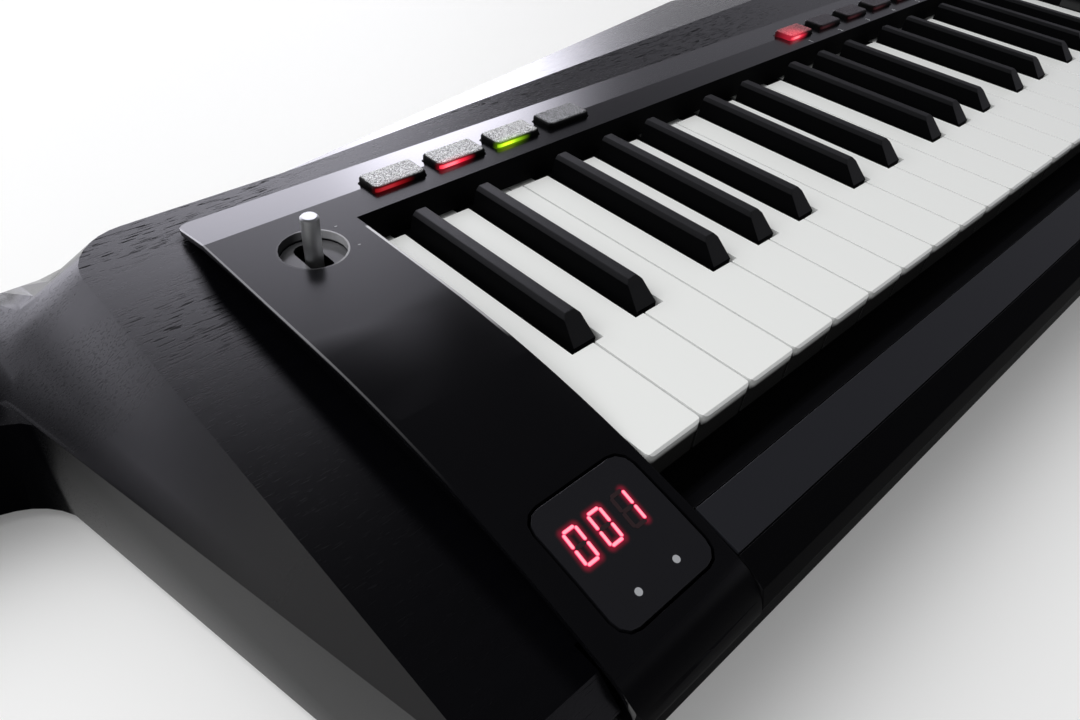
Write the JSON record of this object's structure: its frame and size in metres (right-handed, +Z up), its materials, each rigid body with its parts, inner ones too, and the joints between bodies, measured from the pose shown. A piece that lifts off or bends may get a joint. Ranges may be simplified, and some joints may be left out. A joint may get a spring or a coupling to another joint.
{
  "type": "shoulder keyboard",
  "caption": "Shoulder-worn keyboard with a faceted wooden body, a neck with a touch strip, small sprung piano keys, a touch strip in front, lit buttons, a lever and a digit display.",
  "frame": {"origin": "centre of the bounding box in plan, at the underside of the feet", "axes": "+X along the keys towards the treble end, +Y from the key fronts to the rear edge, +Z up out of the keys"},
  "size_m": [0.8254, 0.261, 0.0753],
  "materials": {
    "wood": "black-stained open-grain timber, satin",
    "panel": "dark grey-black coat, satin gloss",
    "frame": "black moulded plastic",
    "strip": "dark blue-grey matt touch strip",
    "glass": "dark smoked window",
    "rubber": "black",
    "white_key": "cool white, softly glossy",
    "black_key": "black, matt with a fine texture",
    "steel": "satin",
    "button": "silver-grey translucent"
  },
  "bodies": {
    "instrument": {"wood_body": "wood", "top_panel": "panel", "key_frame": "frame", "short_ribbon": "strip", "display_window": "glass", "long_ribbon": "strip", "rear_cover": "frame"},
    "key_1_c": {"key_1_c": "white_key"},
    "key_1_c_sharp": {"key_1_c_sharp": "black_key"},
    "key_1_d": {"key_1_d": "white_key"},
    "key_1_d_sharp": {"key_1_d_sharp": "black_key"},
    "key_1_e": {"key_1_e": "white_key"},
    "key_1_f": {"key_1_f": "white_key"},
    "key_1_f_sharp": {"key_1_f_sharp": "black_key"},
    "key_1_g": {"key_1_g": "white_key"},
    "key_1_g_sharp": {"key_1_g_sharp": "black_key"},
    "key_1_a": {"key_1_a": "white_key"},
    "key_1_a_sharp": {"key_1_a_sharp": "black_key"},
    "key_1_b": {"key_1_b": "white_key"},
    "key_2_c": {"key_2_c": "white_key"},
    "key_2_c_sharp": {"key_2_c_sharp": "black_key"},
    "key_2_d": {"key_2_d": "white_key"},
    "key_2_d_sharp": {"key_2_d_sharp": "black_key"},
    "key_2_e": {"key_2_e": "white_key"},
    "key_2_f": {"key_2_f": "white_key"},
    "key_2_f_sharp": {"key_2_f_sharp": "black_key"},
    "key_2_g": {"key_2_g": "white_key"},
    "key_2_g_sharp": {"key_2_g_sharp": "black_key"},
    "key_2_a": {"key_2_a": "white_key"},
    "key_2_a_sharp": {"key_2_a_sharp": "black_key"},
    "key_2_b": {"key_2_b": "white_key"},
    "key_3_c": {"key_3_c": "white_key"},
    "key_3_c_sharp": {"key_3_c_sharp": "black_key"},
    "key_3_d": {"key_3_d": "white_key"},
    "key_3_d_sharp": {"key_3_d_sharp": "black_key"},
    "key_3_e": {"key_3_e": "white_key"},
    "key_3_f": {"key_3_f": "white_key"},
    "key_3_f_sharp": {"key_3_f_sharp": "black_key"},
    "key_3_g": {"key_3_g": "white_key"},
    "key_3_g_sharp": {"key_3_g_sharp": "black_key"},
    "key_3_a": {"key_3_a": "white_key"},
    "key_3_a_sharp": {"key_3_a_sharp": "black_key"},
    "key_3_b": {"key_3_b": "white_key"},
    "key_4_c": {"key_4_c": "white_key"},
    "function_button_1": {"function_button_1": "button"},
    "function_button_2": {"function_button_2": "button"},
    "function_button_3": {"function_button_3": "button"},
    "function_button_4": {"function_button_4": "button"},
    "program_button_1": {"program_button_1": "button"},
    "program_button_2": {"program_button_2": "button"},
    "program_button_3": {"program_button_3": "button"},
    "program_button_4": {"program_button_4": "button"},
    "program_button_5": {"program_button_5": "button"},
    "program_button_6": {"program_button_6": "button"},
    "program_button_7": {"program_button_7": "button"},
    "program_button_8": {"program_button_8": "button"},
    "sound_lever": {"sound_lever": "steel"},
    "volume_knob": {"volume_knob": "steel"},
    "modulation_wheel": {"modulation_wheel": "rubber"},
    "battery_cover": {"battery_cover": "frame"}
  },
  "joints": [
    {"name": "key_1_c_press", "type": "hinge", "parent": "instrument", "child": "key_1_c", "pos_m": [-0.13234, 0.03749, 0.0465], "axis": [1, 0, 0], "range_deg": [0, 4], "stiffness_Nm_per_rad": 0.5, "springref_deg": -11.46},
    {"name": "key_1_c_sharp_press", "type": "hinge", "parent": "instrument", "child": "key_1_c_sharp", "pos_m": [-0.12434, 0.03749, 0.0465], "axis": [1, 0, 0], "range_deg": [0, 4], "stiffness_Nm_per_rad": 0.5, "springref_deg": -10.31},
    {"name": "key_1_d_press", "type": "hinge", "parent": "instrument", "child": "key_1_d", "pos_m": [-0.11154, 0.03749, 0.0465], "axis": [1, 0, 0], "range_deg": [0, 4], "stiffness_Nm_per_rad": 0.5, "springref_deg": -11.46},
    {"name": "key_1_d_sharp_press", "type": "hinge", "parent": "instrument", "child": "key_1_d_sharp", "pos_m": [-0.09874, 0.03749, 0.0465], "axis": [1, 0, 0], "range_deg": [0, 4], "stiffness_Nm_per_rad": 0.5, "springref_deg": -10.31},
    {"name": "key_1_e_press", "type": "hinge", "parent": "instrument", "child": "key_1_e", "pos_m": [-0.09074, 0.03749, 0.0465], "axis": [1, 0, 0], "range_deg": [0, 4], "stiffness_Nm_per_rad": 0.5, "springref_deg": -11.46},
    {"name": "key_1_f_press", "type": "hinge", "parent": "instrument", "child": "key_1_f", "pos_m": [-0.06994, 0.03749, 0.0465], "axis": [1, 0, 0], "range_deg": [0, 4], "stiffness_Nm_per_rad": 0.5, "springref_deg": -11.46},
    {"name": "key_1_f_sharp_press", "type": "hinge", "parent": "instrument", "child": "key_1_f_sharp", "pos_m": [-0.06259, 0.03749, 0.0465], "axis": [1, 0, 0], "range_deg": [0, 4], "stiffness_Nm_per_rad": 0.5, "springref_deg": -10.31},
    {"name": "key_1_g_press", "type": "hinge", "parent": "instrument", "child": "key_1_g", "pos_m": [-0.04914, 0.03749, 0.0465], "axis": [1, 0, 0], "range_deg": [0, 4], "stiffness_Nm_per_rad": 0.5, "springref_deg": -11.46},
    {"name": "key_1_g_sharp_press", "type": "hinge", "parent": "instrument", "child": "key_1_g_sharp", "pos_m": [-0.03874, 0.03749, 0.0465], "axis": [1, 0, 0], "range_deg": [0, 4], "stiffness_Nm_per_rad": 0.5, "springref_deg": -10.31},
    {"name": "key_1_a_press", "type": "hinge", "parent": "instrument", "child": "key_1_a", "pos_m": [-0.02834, 0.03749, 0.0465], "axis": [1, 0, 0], "range_deg": [0, 4], "stiffness_Nm_per_rad": 0.5, "springref_deg": -11.46},
    {"name": "key_1_a_sharp_press", "type": "hinge", "parent": "instrument", "child": "key_1_a_sharp", "pos_m": [-0.01489, 0.03749, 0.0465], "axis": [1, 0, 0], "range_deg": [0, 4], "stiffness_Nm_per_rad": 0.5, "springref_deg": -10.31},
    {"name": "key_1_b_press", "type": "hinge", "parent": "instrument", "child": "key_1_b", "pos_m": [-0.00754, 0.03749, 0.0465], "axis": [1, 0, 0], "range_deg": [0, 4], "stiffness_Nm_per_rad": 0.5, "springref_deg": -11.46},
    {"name": "key_2_c_press", "type": "hinge", "parent": "instrument", "child": "key_2_c", "pos_m": [0.01326, 0.03749, 0.0465], "axis": [1, 0, 0], "range_deg": [0, 4], "stiffness_Nm_per_rad": 0.5, "springref_deg": -11.46},
    {"name": "key_2_c_sharp_press", "type": "hinge", "parent": "instrument", "child": "key_2_c_sharp", "pos_m": [0.02126, 0.03749, 0.0465], "axis": [1, 0, 0], "range_deg": [0, 4], "stiffness_Nm_per_rad": 0.5, "springref_deg": -10.31},
    {"name": "key_2_d_press", "type": "hinge", "parent": "instrument", "child": "key_2_d", "pos_m": [0.03406, 0.03749, 0.0465], "axis": [1, 0, 0], "range_deg": [0, 4], "stiffness_Nm_per_rad": 0.5, "springref_deg": -11.46},
    {"name": "key_2_d_sharp_press", "type": "hinge", "parent": "instrument", "child": "key_2_d_sharp", "pos_m": [0.04686, 0.03749, 0.0465], "axis": [1, 0, 0], "range_deg": [0, 4], "stiffness_Nm_per_rad": 0.5, "springref_deg": -10.31},
    {"name": "key_2_e_press", "type": "hinge", "parent": "instrument", "child": "key_2_e", "pos_m": [0.05486, 0.03749, 0.0465], "axis": [1, 0, 0], "range_deg": [0, 4], "stiffness_Nm_per_rad": 0.5, "springref_deg": -11.46},
    {"name": "key_2_f_press", "type": "hinge", "parent": "instrument", "child": "key_2_f", "pos_m": [0.07566, 0.03749, 0.0465], "axis": [1, 0, 0], "range_deg": [0, 4], "stiffness_Nm_per_rad": 0.5, "springref_deg": -11.46},
    {"name": "key_2_f_sharp_press", "type": "hinge", "parent": "instrument", "child": "key_2_f_sharp", "pos_m": [0.08301, 0.03749, 0.0465], "axis": [1, 0, 0], "range_deg": [0, 4], "stiffness_Nm_per_rad": 0.5, "springref_deg": -10.31},
    {"name": "key_2_g_press", "type": "hinge", "parent": "instrument", "child": "key_2_g", "pos_m": [0.09646, 0.03749, 0.0465], "axis": [1, 0, 0], "range_deg": [0, 4], "stiffness_Nm_per_rad": 0.5, "springref_deg": -11.46},
    {"name": "key_2_g_sharp_press", "type": "hinge", "parent": "instrument", "child": "key_2_g_sharp", "pos_m": [0.10686, 0.03749, 0.0465], "axis": [1, 0, 0], "range_deg": [0, 4], "stiffness_Nm_per_rad": 0.5, "springref_deg": -10.31},
    {"name": "key_2_a_press", "type": "hinge", "parent": "instrument", "child": "key_2_a", "pos_m": [0.11726, 0.03749, 0.0465], "axis": [1, 0, 0], "range_deg": [0, 4], "stiffness_Nm_per_rad": 0.5, "springref_deg": -11.46},
    {"name": "key_2_a_sharp_press", "type": "hinge", "parent": "instrument", "child": "key_2_a_sharp", "pos_m": [0.13071, 0.03749, 0.0465], "axis": [1, 0, 0], "range_deg": [0, 4], "stiffness_Nm_per_rad": 0.5, "springref_deg": -10.31},
    {"name": "key_2_b_press", "type": "hinge", "parent": "instrument", "child": "key_2_b", "pos_m": [0.13806, 0.03749, 0.0465], "axis": [1, 0, 0], "range_deg": [0, 4], "stiffness_Nm_per_rad": 0.5, "springref_deg": -11.46},
    {"name": "key_3_c_press", "type": "hinge", "parent": "instrument", "child": "key_3_c", "pos_m": [0.15886, 0.03749, 0.0465], "axis": [1, 0, 0], "range_deg": [0, 4], "stiffness_Nm_per_rad": 0.5, "springref_deg": -11.46},
    {"name": "key_3_c_sharp_press", "type": "hinge", "parent": "instrument", "child": "key_3_c_sharp", "pos_m": [0.16686, 0.03749, 0.0465], "axis": [1, 0, 0], "range_deg": [0, 4], "stiffness_Nm_per_rad": 0.5, "springref_deg": -10.31},
    {"name": "key_3_d_press", "type": "hinge", "parent": "instrument", "child": "key_3_d", "pos_m": [0.17966, 0.03749, 0.0465], "axis": [1, 0, 0], "range_deg": [0, 4], "stiffness_Nm_per_rad": 0.5, "springref_deg": -11.46},
    {"name": "key_3_d_sharp_press", "type": "hinge", "parent": "instrument", "child": "key_3_d_sharp", "pos_m": [0.19246, 0.03749, 0.0465], "axis": [1, 0, 0], "range_deg": [0, 4], "stiffness_Nm_per_rad": 0.5, "springref_deg": -10.31},
    {"name": "key_3_e_press", "type": "hinge", "parent": "instrument", "child": "key_3_e", "pos_m": [0.20046, 0.03749, 0.0465], "axis": [1, 0, 0], "range_deg": [0, 4], "stiffness_Nm_per_rad": 0.5, "springref_deg": -11.46},
    {"name": "key_3_f_press", "type": "hinge", "parent": "instrument", "child": "key_3_f", "pos_m": [0.22126, 0.03749, 0.0465], "axis": [1, 0, 0], "range_deg": [0, 4], "stiffness_Nm_per_rad": 0.5, "springref_deg": -11.46},
    {"name": "key_3_f_sharp_press", "type": "hinge", "parent": "instrument", "child": "key_3_f_sharp", "pos_m": [0.22861, 0.03749, 0.0465], "axis": [1, 0, 0], "range_deg": [0, 4], "stiffness_Nm_per_rad": 0.5, "springref_deg": -10.31},
    {"name": "key_3_g_press", "type": "hinge", "parent": "instrument", "child": "key_3_g", "pos_m": [0.24206, 0.03749, 0.0465], "axis": [1, 0, 0], "range_deg": [0, 4], "stiffness_Nm_per_rad": 0.5, "springref_deg": -11.46},
    {"name": "key_3_g_sharp_press", "type": "hinge", "parent": "instrument", "child": "key_3_g_sharp", "pos_m": [0.25246, 0.03749, 0.0465], "axis": [1, 0, 0], "range_deg": [0, 4], "stiffness_Nm_per_rad": 0.5, "springref_deg": -10.31},
    {"name": "key_3_a_press", "type": "hinge", "parent": "instrument", "child": "key_3_a", "pos_m": [0.26286, 0.03749, 0.0465], "axis": [1, 0, 0], "range_deg": [0, 4], "stiffness_Nm_per_rad": 0.5, "springref_deg": -11.46},
    {"name": "key_3_a_sharp_press", "type": "hinge", "parent": "instrument", "child": "key_3_a_sharp", "pos_m": [0.27631, 0.03749, 0.0465], "axis": [1, 0, 0], "range_deg": [0, 4], "stiffness_Nm_per_rad": 0.5, "springref_deg": -10.31},
    {"name": "key_3_b_press", "type": "hinge", "parent": "instrument", "child": "key_3_b", "pos_m": [0.28366, 0.03749, 0.0465], "axis": [1, 0, 0], "range_deg": [0, 4], "stiffness_Nm_per_rad": 0.5, "springref_deg": -11.46},
    {"name": "key_4_c_press", "type": "hinge", "parent": "instrument", "child": "key_4_c", "pos_m": [0.30446, 0.03749, 0.0465], "axis": [1, 0, 0], "range_deg": [0, 4], "stiffness_Nm_per_rad": 0.5, "springref_deg": -11.46},
    {"name": "function_button_1_press", "type": "slide", "parent": "instrument", "child": "function_button_1", "axis": [0, 0, -1], "range_m": [0, 0.0012], "stiffness_N_per_m": 400, "springref_m": -0.001},
    {"name": "function_button_2_press", "type": "slide", "parent": "instrument", "child": "function_button_2", "axis": [0, 0, -1], "range_m": [0, 0.0012], "stiffness_N_per_m": 400, "springref_m": -0.001},
    {"name": "function_button_3_press", "type": "slide", "parent": "instrument", "child": "function_button_3", "axis": [0, 0, -1], "range_m": [0, 0.0012], "stiffness_N_per_m": 400, "springref_m": -0.001},
    {"name": "function_button_4_press", "type": "slide", "parent": "instrument", "child": "function_button_4", "axis": [0, 0, -1], "range_m": [0, 0.0012], "stiffness_N_per_m": 400, "springref_m": -0.001},
    {"name": "program_button_1_press", "type": "slide", "parent": "instrument", "child": "program_button_1", "axis": [0, 0, -1], "range_m": [0, 0.0012], "stiffness_N_per_m": 400, "springref_m": -0.001},
    {"name": "program_button_2_press", "type": "slide", "parent": "instrument", "child": "program_button_2", "axis": [0, 0, -1], "range_m": [0, 0.0012], "stiffness_N_per_m": 400, "springref_m": -0.001},
    {"name": "program_button_3_press", "type": "slide", "parent": "instrument", "child": "program_button_3", "axis": [0, 0, -1], "range_m": [0, 0.0012], "stiffness_N_per_m": 400, "springref_m": -0.001},
    {"name": "program_button_4_press", "type": "slide", "parent": "instrument", "child": "program_button_4", "axis": [0, 0, -1], "range_m": [0, 0.0012], "stiffness_N_per_m": 400, "springref_m": -0.001},
    {"name": "program_button_5_press", "type": "slide", "parent": "instrument", "child": "program_button_5", "axis": [0, 0, -1], "range_m": [0, 0.0012], "stiffness_N_per_m": 400, "springref_m": -0.001},
    {"name": "program_button_6_press", "type": "slide", "parent": "instrument", "child": "program_button_6", "axis": [0, 0, -1], "range_m": [0, 0.0012], "stiffness_N_per_m": 400, "springref_m": -0.001},
    {"name": "program_button_7_press", "type": "slide", "parent": "instrument", "child": "program_button_7", "axis": [0, 0, -1], "range_m": [0, 0.0012], "stiffness_N_per_m": 400, "springref_m": -0.001},
    {"name": "program_button_8_press", "type": "slide", "parent": "instrument", "child": "program_button_8", "axis": [0, 0, -1], "range_m": [0, 0.0012], "stiffness_N_per_m": 400, "springref_m": -0.001},
    {"name": "sound_lever_tilt", "type": "hinge", "parent": "instrument", "child": "sound_lever", "pos_m": [-0.16254, 0.01789, 0.0485], "axis": [1, 0, 0], "range_deg": [-18, 18], "stiffness_Nm_per_rad": 0.12},
    {"name": "volume_knob_turn", "type": "hinge", "parent": "instrument", "child": "volume_knob", "pos_m": [0.33466, 0.01789, 0.0645], "axis": [0, 0, 1], "range_deg": [-150, 150]},
    {"name": "modulation_wheel_turn", "type": "hinge", "parent": "instrument", "child": "modulation_wheel", "pos_m": [-0.36874, 0.07149, 0.03385], "axis": [0, 0, 1], "range_deg": [-35, 35]},
    {"name": "battery_cover_lift_off", "type": "slide", "parent": "instrument", "child": "battery_cover", "axis": [0, 0, -1], "range_m": [0, 0.03]}
  ]
}
